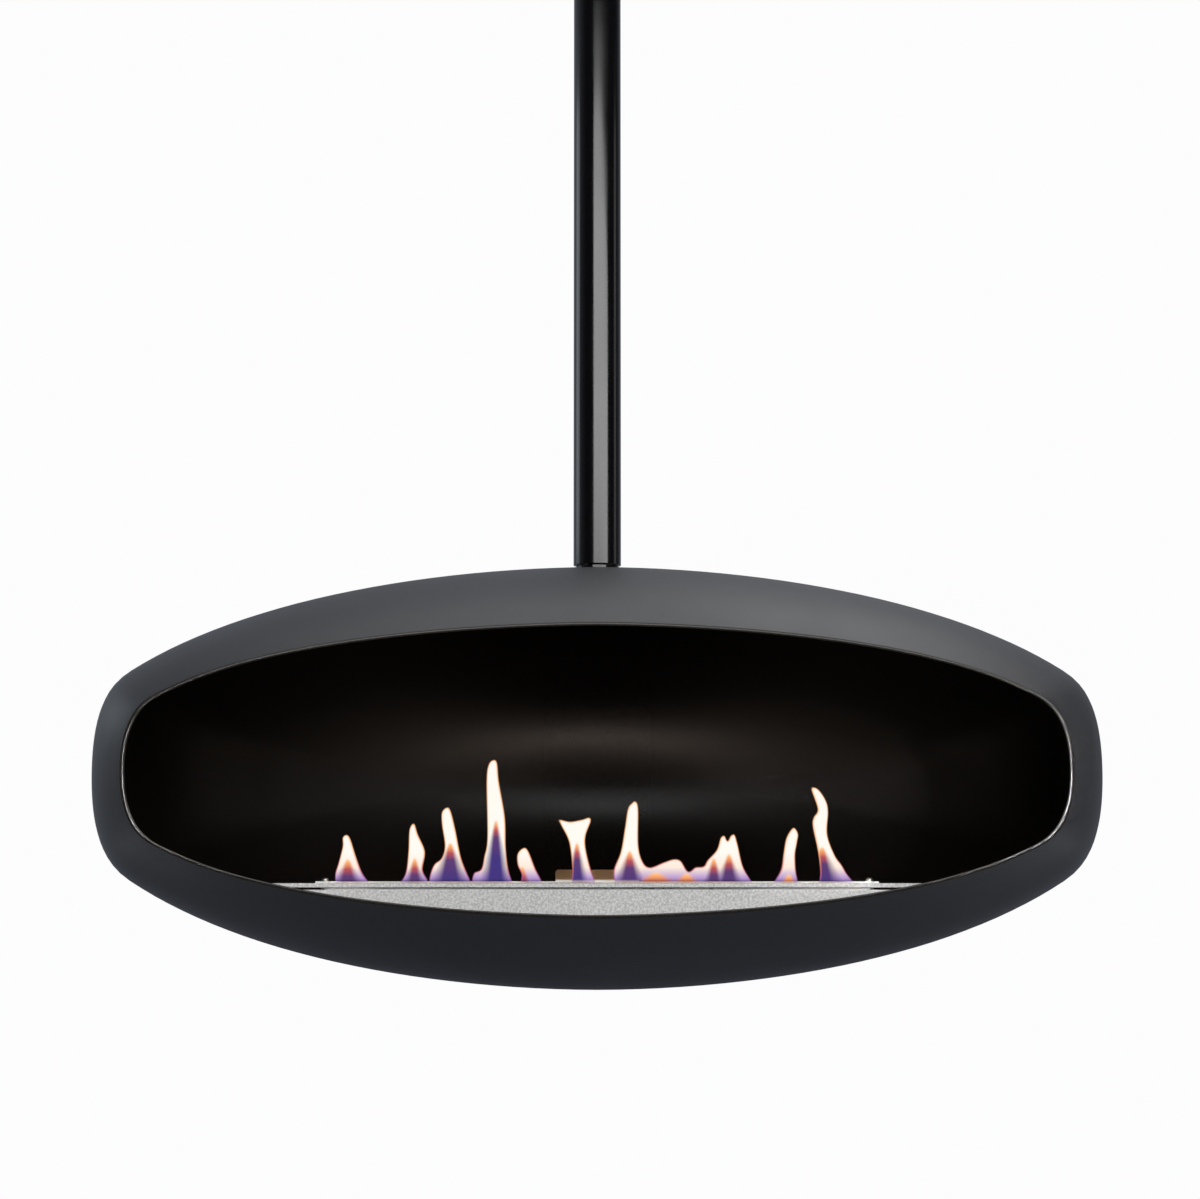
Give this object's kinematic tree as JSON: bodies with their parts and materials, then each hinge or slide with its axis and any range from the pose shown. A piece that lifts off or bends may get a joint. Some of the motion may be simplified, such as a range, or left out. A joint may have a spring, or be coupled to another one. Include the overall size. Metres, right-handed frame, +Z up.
{
  "type": "hanging fireplace",
  "caption": "Pebble-shaped steel fire that hangs from a ceiling pole and turns on it, with an open mouth, a slot burner for liquid fuel and a sliding snuffer lid.",
  "frame": {"origin": "centre of the ceiling plate's top face, which lies against the ceiling; the whole fire hangs below it", "axes": "+Z up, out of the ceiling plate's face and along the pole's axis; -Y out of the fire's mouth, towards the viewer; +X to the viewer's right"},
  "size_m": [0.978, 0.5347, 1.4315],
  "materials": {
    "stove_paint": "matte fine-textured black heat-proof paint",
    "pole_gloss": "satin black enamel",
    "zinc_steel": "zinc plated, dull",
    "bearing_steel": "ground bearing steel",
    "bronze": "turned bearing bronze",
    "blasted_steel": "bead-blasted stainless steel, pale grey",
    "stainless": "brushed stainless steel",
    "ceramic_fibre": "matted ceramic fibre"
  },
  "bodies": {
    "ceiling_pole": {"ceiling_plate": "zinc_steel", "pole_socket": "zinc_steel", "pole": "pole_gloss", "cross_bolt": "zinc_steel", "cross_bolt_nut": "zinc_steel", "canopy": "stove_paint", "canopy_collar": "stove_paint", "canopy_grub_screw": "zinc_steel", "bearing_seat": "zinc_steel", "guide_bush": "bronze", "thrust_race_lower": "bearing_steel"},
    "fire": {"thrust_ball_cage": "bearing_steel", "thrust_race_upper": "bearing_steel", "spigot": "pole_gloss", "shaft_washer": "zinc_steel", "castle_nut": "zinc_steel", "split_pin": "zinc_steel", "body_shell": "stove_paint", "spreader_plate": "zinc_steel", "clamp_washer": "zinc_steel", "clamp_nut": "zinc_steel", "cradle_left": "stove_paint", "cradle_right": "stove_paint", "burner_casing": "blasted_steel", "fuel_tank": "stainless", "ceramic_fibre": "ceramic_fibre", "fibre_grille": "stainless", "slot_deck": "blasted_steel", "deck_screw_front_left": "stainless", "deck_screw_front_right": "stainless", "deck_screw_rear_left": "stainless", "deck_screw_rear_right": "stainless"},
    "lid": {"snuffer_lid": "stainless", "lid_pin_left": "stainless", "lid_pin_right": "stainless", "lid_pin_nut_left": "stainless", "lid_pin_nut_right": "stainless"}
  },
  "joints": [
    {"name": "body_swivel", "type": "hinge", "parent": "ceiling_pole", "child": "fire", "pos_m": [0, 0, -1.006], "axis": [0, 0, 1], "continuous": true},
    {"name": "lid_slide", "type": "slide", "parent": "fire", "child": "lid", "axis": [0, -1, 0], "range_m": [0, 0.0333]}
  ]
}
